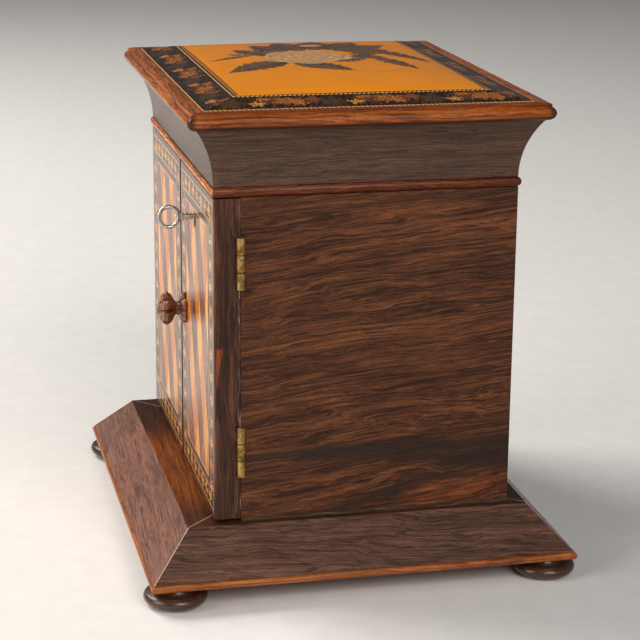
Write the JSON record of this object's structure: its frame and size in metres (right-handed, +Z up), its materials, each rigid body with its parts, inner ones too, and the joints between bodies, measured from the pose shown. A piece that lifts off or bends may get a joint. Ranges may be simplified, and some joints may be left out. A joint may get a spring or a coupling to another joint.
{
  "type": "musical table cabinet",
  "caption": "Inlaid wooden table cabinet on bun feet, with parquetry doors over drawers, a hinged pillow lid, and a small pinned-cylinder movement in the well under the lid.",
  "frame": {"origin": "on the ground, under the middle of the box round the cabinet", "axes": "+Z up, +Y towards the back (the doors face -Y), +X towards the hinged side of the door with the knob"},
  "size_m": [0.31, 0.2732, 0.3077],
  "materials": {
    "rosewood": "french polished",
    "dark_rosewood": "french polished",
    "red_rosewood": "french polished",
    "ebonised_wood": "polished",
    "cedar": "unpolished",
    "satinwood": "french polished",
    "wood_mosaic": "french polished",
    "parquetry": "french polished",
    "brass": "satin",
    "steel": "satin",
    "blued_steel": "blued"
  },
  "bodies": {
    "carcass": {"feet": "ebonised_wood", "plinth_edging": "red_rosewood", "plinth_boards": "rosewood", "base_board": "cedar", "base_fillet": "satinwood", "carcass_floor": "cedar", "side_left": "rosewood", "side_right": "rosewood", "back_panel": "rosewood", "front_rail": "rosewood", "door_head": "cedar", "drawer_dividers": "cedar", "well_floor": "cedar", "well_partition": "cedar", "bead_moulding": "red_rosewood", "cornice_mouldings": "dark_rosewood", "lid_hinge_fixed": "brass", "hinge_pins": "steel", "door_hinges_fixed": "brass", "lock_keep": "brass", "bedplate": "brass", "movement_screws": "blued_steel", "comb_base": "brass", "comb": "steel", "bearing_brackets": "brass", "governor_cock": "brass"},
    "lid": {"lid_edge": "red_rosewood", "lid_board": "cedar", "lid_band": "wood_mosaic", "lid_panel": "satinwood", "lid_hinge_moving": "brass"},
    "left_door": {"door_left": "dark_rosewood", "door_left_face": "parquetry", "door_left_hinges": "brass"},
    "right_door": {"door_right": "dark_rosewood", "door_right_face": "parquetry", "door_right_hinges": "brass", "door_knob": "ebonised_wood", "escutcheon": "brass", "lock_case": "brass"},
    "bolt": {"lock_bolt": "steel"},
    "key": {"key_bow": "steel", "key_shank": "steel"},
    "top_drawer": {"drawer_top": "cedar", "drawer_top_knob": "ebonised_wood"},
    "middle_drawer": {"drawer_middle": "cedar", "drawer_middle_knob": "ebonised_wood"},
    "bottom_drawer": {"drawer_bottom": "cedar", "drawer_bottom_knob": "ebonised_wood"},
    "pinned_cylinder": {"cylinder": "brass", "cylinder_arbor": "steel", "cylinder_wheels": "brass"},
    "barrel": {"spring_barrel": "brass", "barrel_wheel": "brass", "mainspring": "blued_steel"},
    "winder": {"barrel_arbor": "steel", "winding_lever": "steel"},
    "governor": {"governor_wheels": "brass"},
    "fly": {"endless_screw": "steel"},
    "stop": {"start_lever": "steel"}
  },
  "joints": [
    {"name": "lid_hinge", "type": "hinge", "parent": "carcass", "child": "lid", "pos_m": [0, 0.11585, 0.2881], "axis": [-1, 0, 0], "range_deg": [0, 100]},
    {"name": "right_door_hinge", "type": "hinge", "parent": "carcass", "child": "right_door", "pos_m": [0.122, -0.074, 0.1458], "axis": [0, 0, 1], "range_deg": [0, 180]},
    {"name": "left_door_hinge", "type": "hinge", "parent": "carcass", "child": "left_door", "pos_m": [-0.122, -0.074, 0.1458], "axis": [0, 0, 1], "range_deg": [-180, 0]},
    {"name": "key_turn", "type": "hinge", "parent": "right_door", "child": "key", "pos_m": [0.0548, -0.09015, 0.2208], "axis": [0, 1, 0], "range_deg": [0, 180]},
    {"name": "bolt_slide", "type": "slide", "parent": "right_door", "child": "bolt", "axis": [0, 0, 1], "range_m": [0, 0.004]},
    {"name": "top_drawer_slide", "type": "slide", "parent": "carcass", "child": "top_drawer", "axis": [0, -1, 0], "range_m": [0, 0.0817]},
    {"name": "middle_drawer_slide", "type": "slide", "parent": "carcass", "child": "middle_drawer", "axis": [0, -1, 0], "range_m": [0, 0.0817]},
    {"name": "bottom_drawer_slide", "type": "slide", "parent": "carcass", "child": "bottom_drawer", "axis": [0, -1, 0], "range_m": [0, 0.0817]},
    {"name": "cylinder_turn", "type": "hinge", "parent": "carcass", "child": "pinned_cylinder", "pos_m": [0.005, 0.04615, 0.259], "axis": [1, 0, 0], "continuous": true},
    {"name": "barrel_turn", "type": "hinge", "parent": "carcass", "child": "barrel", "pos_m": [0.005, 0.02695, 0.259], "axis": [1, 0, 0], "continuous": true},
    {"name": "governor_turn", "type": "hinge", "parent": "carcass", "child": "governor", "pos_m": [0.055, 0.06115, 0.259], "axis": [1, 0, 0], "continuous": true},
    {"name": "fly_spin", "type": "hinge", "parent": "carcass", "child": "fly", "pos_m": [0.055, 0.05343, 0.259], "axis": [0, 0, 1], "continuous": true},
    {"name": "winding_stroke", "type": "hinge", "parent": "carcass", "child": "winder", "pos_m": [-0.07, 0.02695, 0.259], "axis": [-1, 0, 0], "range_deg": [0, 60]},
    {"name": "stop_lever_turn", "type": "hinge", "parent": "carcass", "child": "stop", "pos_m": [0.059, 0.03215, 0.242], "axis": [0, 0, 1], "range_deg": [0, 20]}
  ],
  "couplings": [
    {"joint": "left_door_hinge", "follows": "right_door_hinge", "ratio": -1},
    {"joint": "top_drawer_slide", "follows": "right_door_hinge", "m_per_rad": 0.026},
    {"joint": "middle_drawer_slide", "follows": "right_door_hinge", "m_per_rad": 0.026},
    {"joint": "bottom_drawer_slide", "follows": "right_door_hinge", "m_per_rad": 0.026},
    {"joint": "key_turn", "follows": "bolt_slide", "rad_per_m": 785.39},
    {"joint": "barrel_turn", "follows": "cylinder_turn", "ratio": -0.33333},
    {"joint": "governor_turn", "follows": "cylinder_turn", "ratio": -4},
    {"joint": "fly_spin", "follows": "cylinder_turn", "ratio": 40}
  ]
}
